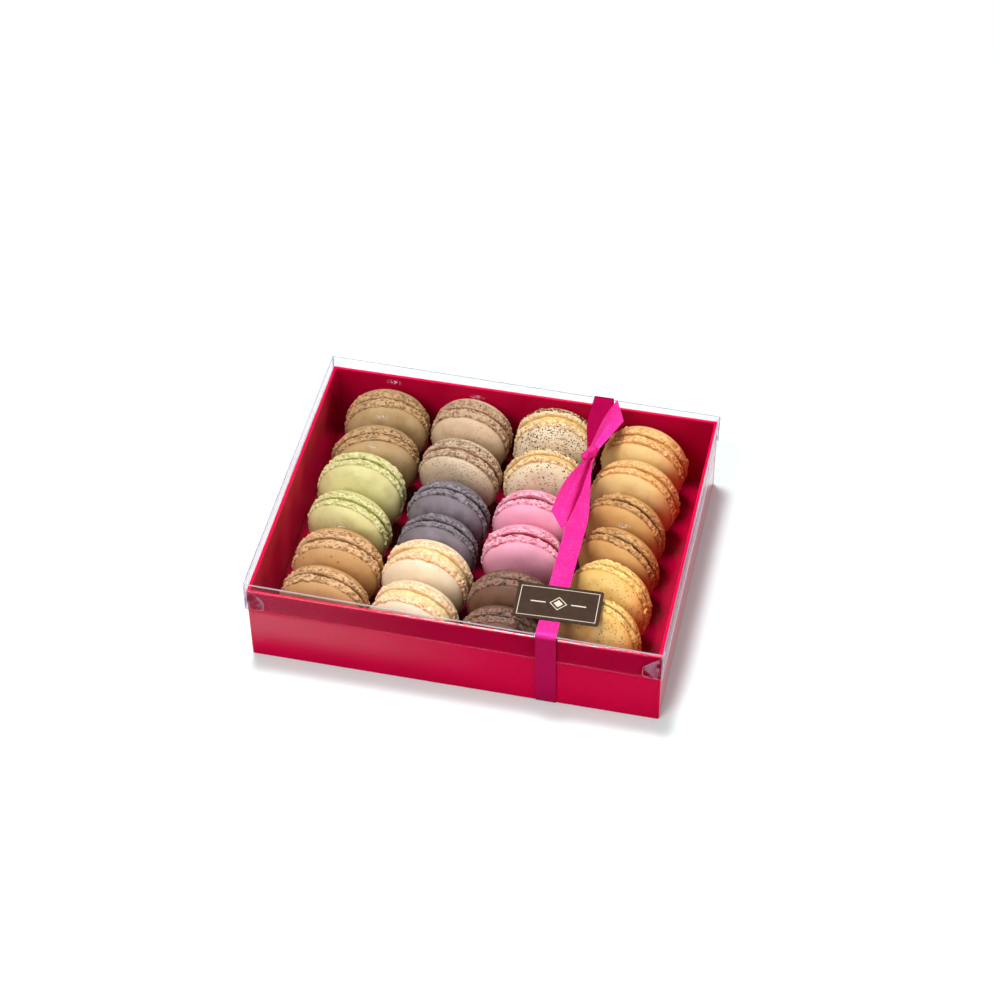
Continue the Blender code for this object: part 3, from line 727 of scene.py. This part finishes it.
def new_piece(name, shape, finish, place):
    """A piece of this bmesh, in this finish and place, riding on the box."""
    bmesh.ops.recalc_face_normals(shape, faces=shape.faces)
    mesh = bpy.data.meshes.new(name)
    shape.to_mesh(mesh)
    shape.free()
    mesh.materials.append(finish)
    piece = new_object(name, mesh)
    piece.matrix_world = place
    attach(piece, "root")
    return piece


def smooth_to(piece, angle):
    """Smooth shading, with a crease wherever two faces meet at more than this angle."""
    piece.data.shade_smooth()
    piece.data.set_sharp_from_angle(angle=math.radians(angle))


shape = bmesh.new()
bmesh.ops.create_cube(shape, size=1)
bmesh.ops.delete(shape, geom=[face for face in shape.faces if face.normal.z > 0.5], context="FACES")
bmesh.ops.scale(shape, vec=(LID_LENGTH, LID_WIDTH, LID_WALL), verts=shape.verts)
bmesh.ops.translate(shape, vec=(0, 0, LID_WALL / 2), verts=shape.verts)
folds = [edge for edge in shape.edges if not edge.is_boundary]
bmesh.ops.bevel(shape, geom=folds, offset=FOLD, segments=4, profile=0.5, affect="EDGES")
bmesh.ops.recalc_face_normals(shape, faces=shape.faces)
bmesh.ops.solidify(shape, geom=shape.faces, thickness=FILM)
clear_film = film_finish("clear_film", lid_marks, paint(222, 214, 228))
lid_film = new_piece("lid_film", shape, clear_film, lid_place)
smooth_to(lid_film, 50)
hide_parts("lid")


def tab_outline():
    """The tab's outline with its free corners rounded, in from the corner and down, in metres."""
    steps = 5
    corners = [Vector(corner) * MM for corner in TAB]
    outline = []
    for i, corner in enumerate(corners):
        if corner.x == 0:
            outline.append(corner)
            continue
        before = corners[i - 1]
        after = corners[(i + 1) % len(corners)]
        radius = min(TAB_ROUND, (before - corner).length / 2.2, (after - corner).length / 2.2)
        start = corner + (before - corner).normalized() * radius
        end = corner + (after - corner).normalized() * radius
        for k in range(steps + 1):
            t = k / steps
            outline.append(start * (1 - t) ** 2 + corner * 2 * t * (1 - t) + end * t ** 2)
    return outline


def tab_shape(side_x, side_y):
    """A glued tab, in rings from its outline inwards, so that its rim can be milky."""
    shape = bmesh.new()
    milk_mark = shape.verts.layers.float.new("milk")
    outline = tab_outline()
    centre = sum(outline, Vector((0, 0))) / len(outline)
    rings = []
    for out, shrink, milk in TAB_RINGS:
        ring = []
        for point in outline:
            inward = centre - point
            moved = point + inward.normalized() * min(shrink * MM, inward.length * 0.8)
            vert = shape.verts.new((side_x * (LID_LENGTH / 2 - TAB_INSET - moved.x),
                                    side_y * (LID_WIDTH / 2 + out * MM), moved.y))
            vert[milk_mark] = milk if side_y > 0 else 0.25 * milk
            ring.append(vert)
        rings.append(ring)
    for low, high in zip(rings, rings[1:]):
        for i in range(len(outline)):
            j = (i + 1) % len(outline)
            shape.faces.new((low[i], low[j], high[j], high[i]))
    shape.faces.new(rings[0])
    shape.faces.new(rings[-1])
    return shape


def tab_marks(tree, place):
    """A tab isn't glossy. It is milky at its rim, and in front also in clouds where the glue has dried."""
    rim = node(tree, "Attribute", attribute_name="milk").outputs["Fac"]
    cloud = ramp(tree, noise(tree, place, 170, 2), 0.42, 0.62)
    front = ramp(tree, node(tree, "SeparateXYZ", {0: place}).outputs[1], -1 * MM, 1 * MM)
    return most(tree, rim, product(tree, cloud, 0.16, front)), (0.94, 0.92, 0.95, 1), 0.0


tab_film = film_finish("tab_film", tab_marks, paint(214, 178, 204))
for side_x in (-1, 1):
    for side_y in (-1, 1):
        name = "lid_tab_" + ("left" if side_x < 0 else "right") + ("_back" if side_y < 0 else "_front")
        tab = new_piece(name, tab_shape(side_x, side_y), tab_film, lid_place)
        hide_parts("lid")

# Ribbon: one length of satin, taken once round the box and knotted on the lid, with its two ends left loose.
# The band is gathered where the knot grips it, and the ends are cut at a slant.
RIBBON_WIDTH = 10.6 * MM
RIBBON_SHEET = 0.35 * MM
RIBBON_FRONT_X = 48.7 * MM
RIBBON_BACK_X = 44.6 * MM
RIBBON_OFF = 0.5 * MM        # its middle's distance from lid and tray
RIBBON_SLACK = 0.1 * MM      # and a little more over the lid
KNOT = Vector((45.8 * MM, 41.6 * MM))
KNOT_SIZE = Vector((7.8 * MM, 12.0 * MM, 4.6 * MM))
KNOT_TURN = math.radians(-28)
KNOT_OFF = 0.3 * MM          # over the lid
KNOT_PLEATS = 0.8            # turns of the pleats' wave from one end of it to the other
KNOT_SLANT = 0.45            # how much they slant
PLEAT_SHARE = 0.34           # how deep they are, as a share of its size
GATHER_FRONT = 52 * MM       # how far from the knot the band is gathered
GATHER_BACK = 26 * MM
GATHERED_WIDTH = 4.4 * MM
PLEAT = 0.7 * MM             # height of the gathered band's pleats
TAIL_ARCH = 0.8 * MM
BEND = 0.9 * MM              # radius at the box's edges
CHANNEL_DEPTH = 0.8 * MM     # across the tray's base, under the box
ACROSS = 11                  # points across the ribbon
TOP_STEPS = 120              # steps over the lid, and so on
WALL_STEPS = 24
BASE_STEPS = 40
BEND_STEPS = 6
TAIL_STEPS = 44

# Left and right edge of each loose end, from the knot to the tip: x, y and height over the lid in mm
LONG_TAIL = ([(44.2, 37, 2.4), (38.4, 23.9, 2.2), (35.5, 12.2, 1.8), (34.1, -3.4, 1.6)],
             [(47.0, 36, 2.4), (46.6, 19.7, 2.4), (45.2, 4.6, 2.0), (42.4, -16.3, 1.6)])
SHORT_TAIL = ([(44.8, 48, 2.6), (48.3, 67.1, 5.0), (53.0, 80.8, 7.0)],
              [(48.6, 43, 2.6), (54.2, 54.5, 4.6), (59.2, 66.1, 6.0)])
knot_lie = (Matrix.Translation((KNOT.x, KNOT.y, lid_height(KNOT.x) + KNOT_OFF + KNOT_SIZE.z / 2))
            @ Matrix.Rotation(KNOT_TURN, 4, "Z"))


def satin():
    """Pink satin with a fine rib across, bright and glossy where its face mark is high and a dull crimson
    where it is low; on the knot and the loose ends that crimson is painted shade.
    """
    material, tree, shader, place = new_finish("pink_satin", 0.38, IOR=1.12, Metallic=0.3)
    face = node(tree, "Attribute", attribute_name="face").outputs["Fac"]
    cloud = ramp(tree, noise(tree, place, 120, 3), 0.3, 0.75)
    shiny = blend_paint(tree, cloud, paint(240, 62, 156), paint(230, 44, 140))
    dull = blend_paint(tree, cloud, paint(178, 0, 76), paint(166, 0, 68))
    thread = ramp(tree, noise(tree, place, 1300, 2), 0.35, 0.65)
    woven = blend_paint(tree, face, dull, shiny)
    woven_dark = blend_paint(tree, face, paint(158, 0, 66), paint(226, 34, 134))
    tree.links.new(blend_paint(tree, thread, woven, woven_dark), shader.inputs["Base Color"])
    tree.links.new(ramp(tree, face, 3.1, -1.8, smooth=False), shader.inputs["Roughness"])
    ribs = node(tree, "TexWave", {"Vector": place, "Scale": 900, "Distortion": 0.6}, bands_direction="Y")
    emboss(tree, shader, ribs.outputs["Fac"], 0.15, 0.1 * MM)
    return material


def through(points, t):
    """A point on a smooth curve through these points, for t from 0 to 1."""
    last = len(points) - 1
    at = min(int(t * last), last - 1)
    local = t * last - at
    p = [points[min(max(at + step, 0), last)] for step in (-1, 0, 1, 2)]
    return 0.5 * (2 * p[1] + (p[2] - p[0]) * local
                  + (2 * p[0] - 5 * p[1] + 4 * p[2] - p[3]) * local ** 2
                  + (3 * p[1] - p[0] - 3 * p[2] + p[3]) * local ** 3)


def strip(rows, closed=False):
    """Points and faces of a thin strip, from rows of points across it."""
    rows = np.array(rows)
    along = np.roll(rows, -1, 0) - np.roll(rows, 1, 0) if closed else np.gradient(rows, axis=0)
    out = np.cross(np.gradient(rows, axis=1), along)
    out /= np.maximum(np.linalg.norm(out, axis=2, keepdims=True), 1e-9)
    rings = np.concatenate((rows + out * RIBBON_SHEET / 2, (rows - out * RIBBON_SHEET / 2)[:, ::-1]), axis=1)
    count, around = rings.shape[:2]
    faces = ring_sides(count, around, closed)
    if not closed:
        for first, flip in ((0, True), ((count - 1) * around, False)):
            for i in range(around // 2 - 1):
                quad = [first + i, first + i + 1, first + around - 2 - i, first + around - 1 - i]
                faces.append(quad[::-1] if flip else quad)
    return rings.reshape(-1, 3), faces


def band_middle(y):
    """Middle of the band across X on its way over the lid."""
    if y > KNOT.y:
        return KNOT.x + (RIBBON_BACK_X - KNOT.x) * ease((y - KNOT.y) / GATHER_BACK)
    return KNOT.x + (RIBBON_FRONT_X - KNOT.x) * ease((KNOT.y - y) / GATHER_FRONT)


def band_gather(y):
    """1 where the knot grips the band, 0 where it lies flat."""
    return 1 - ease(abs(y - KNOT.y) / (GATHER_BACK if y > KNOT.y else GATHER_FRONT))


def band_rows():
    """Rows of points across the band, over the lid, down the back, under the tray and up the front."""
    top_y = LID_WIDTH / 2 + RIBBON_OFF
    foot_y = TRAY_DEPTH / 2 + RIBBON_OFF
    run = top_y - BEND
    foot = foot_y - BEND
    low = CHANNEL_DEPTH - RIBBON_OFF + BEND
    centre = []
    for i in range(TOP_STEPS + 1):
        y = -run + 2 * run * i / TOP_STEPS
        centre.append((band_middle(y), y, lid_height(band_middle(y)) + RIBBON_OFF + RIBBON_SLACK))

    def bend(x, y, z, start):
        for i in range(1, BEND_STEPS):
            angle = start - i * math.pi / (2 * BEND_STEPS)
            centre.append((x, y + BEND * math.cos(angle), z + BEND * math.sin(angle)))

    def drop(x, first, last):
        for i in range(1, WALL_STEPS):
            t = i / WALL_STEPS
            centre.append((x, first[0] + (last[0] - first[0]) * t, first[1] + (last[1] - first[1]) * t))

    back_top = (top_y, lid_height(RIBBON_BACK_X) + RIBBON_OFF - BEND)
    front_top = (-top_y, lid_height(RIBBON_FRONT_X) + RIBBON_OFF - BEND)
    bend(RIBBON_BACK_X, run, back_top[1], math.pi / 2)
    drop(RIBBON_BACK_X, back_top, (foot_y, low))
    bend(RIBBON_BACK_X, foot, low, 0)
    for i in range(1, BASE_STEPS):
        t = i / BASE_STEPS
        centre.append((RIBBON_BACK_X + (RIBBON_FRONT_X - RIBBON_BACK_X) * t, foot - 2 * foot * t, low - BEND))
    bend(RIBBON_FRONT_X, -foot, low, -math.pi / 2)
    drop(RIBBON_FRONT_X, (-foot_y, low), front_top)
    bend(RIBBON_FRONT_X, -run, front_top[1], math.pi)
    rows = []
    for x, y, z in centre:
        on_top = z > LID_TOP - 3 * MM and abs(y) < run
        gather = band_gather(y) if on_top else 0
        width = RIBBON_WIDTH + (GATHERED_WIDTH - RIBBON_WIDTH) * gather
        rows.append([(x + u * width / 2, y, z + gather ** 1.5 * PLEAT * (1 + math.cos(2.5 * math.pi * u)) / 2)
                     for u in np.linspace(-1, 1, ACROSS)])
    return rows


def tail_rows(edges, fold):
    """Rows of points across a loose end, arched along its middle, with a fold that fades towards its tip."""
    left, right = [[Vector((x * MM, y * MM, lid_height(x * MM) + height * MM)) for x, y, height in edge]
                   for edge in edges]
    rows = []
    for t in np.linspace(0, 1, TAIL_STEPS + 1):
        a = through(left, t)
        b = through(right, t)
        row = []
        for u in np.linspace(-1, 1, ACROSS):
            arch = TAIL_ARCH * math.sin(math.pi * t) * (1 - u * u)
            row.append(a.lerp(b, (u + 1) / 2) + Vector((0, 0, arch + fold(t, u))))
        rows.append(row)
    return rows


def long_fold(t, u):
    """The long end's right side turns down near the knot."""
    return (1 - t) ** 1.2 * MM * (1.6 * math.exp(-((u - 0.2) / 0.3) ** 2) - 1.6 * max(0, (u - 0.25) / 0.75))


def short_fold(t, u):
    """The short end's left side turns down near the knot."""
    return (1 - t) ** 1.5 * MM * (0.8 * math.exp(-((u - 0.1) / 0.35) ** 2) - 1.2 * max(0, (-u - 0.2) / 0.8))


def knot_wrap():
    """Points and faces of the knot's wrap, pleated at a slant."""
    rings, around = 40, 48
    points = []
    for r in range(rings + 1):
        angle = math.pi * (0.015 + 0.97 * r / rings)
        y = -math.cos(angle)
        for k in range(around):
            turn = math.tau * k / around
            x = math.cos(turn) * math.sin(angle) ** 0.8
            z = math.sin(turn) * math.sin(angle) ** 0.8
            slanted = math.tau * KNOT_PLEATS * (y / 2 + x * KNOT_SLANT) + 0.7
            pleat = 1.05 - PLEAT_SHARE * abs(math.sin(slanted)) ** 0.6 * math.sin(angle)
            points.append(knot_lie @ Vector((x * pleat * KNOT_SIZE.x / 2, y * KNOT_SIZE.y / 2,
                                             z * pleat * KNOT_SIZE.z / 2)))
    ends = [list(range(around))[::-1], list(range(rings * around, (rings + 1) * around))]
    return points, ring_sides(rings + 1, around) + ends


def band_brightness(points):
    """The band is bright over the lid in front of the knot, and a dull crimson behind the knot and from just
    past its bends down.
    """
    return [(1 - ease((y - KNOT.y + 1 * MM) / (4 * MM))) * ease((z - LID_TOP + 2.6 * MM) / (2 * MM))
            for _, y, z in points]


def tail_brightness(rows, painted_shade):
    """How bright the satin is at each point of a loose end's strip, dull where painted shade falls."""
    spread = np.linspace(-1, 1, ACROSS)
    spread = np.concatenate((spread, spread[::-1]))
    return [1 - painted_shade(r / (len(rows) - 1), u) for r in range(len(rows)) for u in spread]


def long_painted_shade(t, u):
    """Painted shade dulls the long end along its right, in a fold that narrows away from the knot, and all
    across near the knot.
    """
    return min(1, 0.9 * ease((u - 0.15 - 0.75 * t) / 0.2) * ease((1 - t) / 0.3) + 0.45 * (1 - ease(t / 0.16)))


def short_painted_shade(t, u):
    """Painted shade dulls the short end only where it leaves the knot."""
    return 0.5 * (1 - ease(t / 0.14)) * ease((u + 0.6) / 0.5)


def knot_painted_shade(points):
    """Painted shade dulls the wrap low on the right."""
    found = []
    for point in points:
        local = knot_lie.inverted() @ point
        x, y = local.x / KNOT_SIZE.x * 2, local.y / KNOT_SIZE.y * 2
        found.append(1 - 0.7 * ease((x - 0.15 * y - 0.05) / 0.2) * ease((0.75 - y) / 0.3))
    return found


def stitched(points, faces):
    """A bmesh of these points and faces."""
    shape = bmesh.new()
    verts = [shape.verts.new(point) for point in points]
    for corners in faces:
        shape.faces.new([verts[i] for i in corners])
    return shape


long_rows, short_rows = tail_rows(LONG_TAIL, long_fold), tail_rows(SHORT_TAIL, short_fold)
band, knot = strip(band_rows(), closed=True), knot_wrap()
ribbon_points, ribbon_faces = [], []
for points, faces in (band, strip(long_rows), strip(short_rows), knot):
    ribbon_faces += [[len(ribbon_points) + i for i in face] for face in faces]
    ribbon_points += [tuple(point) for point in points]
bright = (band_brightness(band[0]) + tail_brightness(long_rows, long_painted_shade) + tail_brightness(short_rows, short_painted_shade)
          + knot_painted_shade(knot[0]))
ribbon_shape = stitched(ribbon_points, ribbon_faces)
brightness_mark = ribbon_shape.verts.layers.float.new("face")
for vert, share in zip(ribbon_shape.verts, bright):
    vert[brightness_mark] = share
ribbon = new_piece("ribbon_satin", ribbon_shape, satin(), Matrix())
smooth_to(ribbon, 60)
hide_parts("ribbon")

# Label: a small card, printed dark brown with a thin frame and a plain ornament, stuck on over the ribbon.
# It is stiff, so it lies nearly flat on the ribbon and stands a little clear of the lid on either side.
LABEL_SIZE = Vector((43.8 * MM, 23.4 * MM))
LABEL_AT = Vector((50.7 * MM, -66.2 * MM))
LABEL_TURN = math.radians(3)
LABEL_CARD = 0.4 * MM
LABEL_CORNER = 1.0 * MM
LABEL_LIFT = 0.95 * MM       # its lower face over the lid
LABEL_DROOP = 0.2 * MM       # of its left and right edges
FRAME_INSET = 2.0 * MM
FRAME_LINE = 0.22 * MM
DIAMOND = 4.2 * MM           # from its middle to the corners of its outline
DIAMOND_LINE = 0.4 * MM
DIAMOND_CORE = 2.5 * MM      # and to those of the filled one in it
BAR_START = 6.4 * MM         # of the two bars, from the card's middle
BAR_END = 14.2 * MM
BAR_HALF = 0.45 * MM         # half a bar's width
SOFT_EDGE = 0.2 * MM         # of the print


def label_finish():
    """Dark brown printed card with a pale frame, and a diamond between two short bars."""
    material, tree, shader, place = new_finish("printed_card", 0.6, IOR=1.2)
    x, y = node(tree, "SeparateXYZ", {0: place}).outputs[:2]
    off_x, off_y = unsigned(tree, x), unsigned(tree, y)
    inside = least(tree, join(tree, "SUBTRACT", LABEL_SIZE.x / 2, off_x),
                   join(tree, "SUBTRACT", LABEL_SIZE.y / 2, off_y))
    off = join(tree, "ADD", off_x, off_y)

    def line(value, at, width):
        away = unsigned(tree, join(tree, "SUBTRACT", value, at))
        return ramp(tree, away, width, width * 0.6, smooth=False)

    diamond = most(tree, line(off, DIAMOND, DIAMOND_LINE),
                   ramp(tree, off, DIAMOND_CORE, DIAMOND_CORE - SOFT_EDGE, smooth=False))
    bars = product(tree, ramp(tree, off_x, BAR_START, BAR_START + SOFT_EDGE),
                   ramp(tree, off_x, BAR_END, BAR_END - SOFT_EDGE), ramp(tree, off_y, BAR_HALF, 0.3 * MM))
    ink = most(tree, line(inside, FRAME_INSET, FRAME_LINE), diamond, bars)
    cloud = ramp(tree, noise(tree, place, 300, 3), 0.3, 0.7)
    card = blend_paint(tree, cloud, paint(60, 43, 33), paint(66, 48, 38))
    tree.links.new(blend_paint(tree, ink, card, paint(214, 202, 184)), shader.inputs["Base Color"])
    emboss(tree, shader, noise(tree, place, 2200, 3), 0.1, 0.2 * MM)
    return material


def label_shape():
    """A grid of points across the card's two faces, drawn in at the rounded corners."""
    columns, lines = 64, 24
    under = []
    for j in range(lines + 1):
        y = (2 * j / lines - 1) * LABEL_SIZE.y / 2
        over = max(0, abs(y) - (LABEL_SIZE.y / 2 - LABEL_CORNER))
        cut = LABEL_CORNER - math.sqrt(max(LABEL_CORNER ** 2 - over ** 2, 0))
        for i in range(columns + 1):
            u = 2 * i / columns - 1
            under.append((u * (LABEL_SIZE.x / 2 - cut), y, LABEL_LIFT - LABEL_DROOP * u * u))
    upper = [(x, y, z + LABEL_CARD) for x, y, z in under]
    across = columns + 1
    count = len(under)
    faces = []
    for j in range(lines):
        for i in range(columns):
            a = j * across + i
            faces.append((a, a + across, a + across + 1, a + 1))
            faces.append((count + a, count + a + 1, count + a + across + 1, count + a + across))
    rim = list(range(across)) + [j * across + columns for j in range(1, lines + 1)]
    rim += [lines * across + i for i in range(columns - 1, -1, -1)]
    rim += [j * across for j in range(lines - 1, 0, -1)]
    for a, b in zip(rim, rim[1:] + rim[:1]):
        faces.append((a, b, count + b, count + a))
    return stitched(under + upper, faces)


label_place = (Matrix.Translation((LABEL_AT.x, LABEL_AT.y, lid_height(LABEL_AT.x)))
               @ Matrix.Rotation(LABEL_TURN, 4, "Z") @ Matrix.Rotation(LID_TILT, 4, "Y"))
label = new_piece("label_card", label_shape(), label_finish(), label_place)
smooth_to(label, 40)
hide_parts("label")

# Studio: a pale floor, one soft light from the upper left and wide weak ones that fill the shadows.
# None of it belongs to the box. The camera looks down on the front from a little to the right.
FLOOR = 6.0                  # metres from its middle to each edge
AIM = Vector((0, 0, 0.03))   # about the middle of the box
floor_mesh = bpy.data.meshes.new("floor")
floor_mesh.from_pydata([(-FLOOR, -FLOOR, 0), (FLOOR, -FLOOR, 0), (FLOOR, FLOOR, 0), (-FLOOR, FLOOR, 0)], [],
                       [(0, 1, 2, 3)])
floor_finish = new_finish("pale_floor", 0.9, Base_Color=(0.8, 0.9, 0.895, 1))[0]
floor_mesh.materials.append(floor_finish)
floor = new_object("floor", floor_mesh)


def soft_light(name, place, size, power):
    """A square soft light at this place, aimed at the box."""
    lamp = bpy.data.lights.new(name, "AREA")
    lamp.shape = "SQUARE"
    lamp.size = size
    lamp.energy = power
    light = new_object(name, lamp)
    light.location = place
    light.rotation_euler = (AIM - Vector(place)).to_track_quat("-Z", "Y").to_euler()


soft_light("back_left", (-0.20, 0.30, 1.8), 0.36, 28)
soft_light("front_fill", (-0.7, -1.6, 1.7), 1.2, 30)
soft_light("right_fill", (1.7, -0.4, 0.7), 1.0, 17)

world = bpy.data.worlds.new("studio")
bpy.context.scene.world = world
world.use_nodes = True
world.node_tree.nodes["Background"].inputs["Color"].default_value = (1, 1, 1, 1)
world.node_tree.nodes["Background"].inputs["Strength"].default_value = 0.18

camera = new_object("camera", bpy.data.cameras.new("camera"))
camera.location = (0.22251, -0.93185, 1.03115)
camera.rotation_euler = [math.radians(angle) for angle in (44.32936, 0.54282, 12.52845)]
camera.data.lens = 94.1456
camera.data.clip_end = 20
bpy.context.scene.camera = camera
bpy.context.scene.view_settings.view_transform = "Standard"
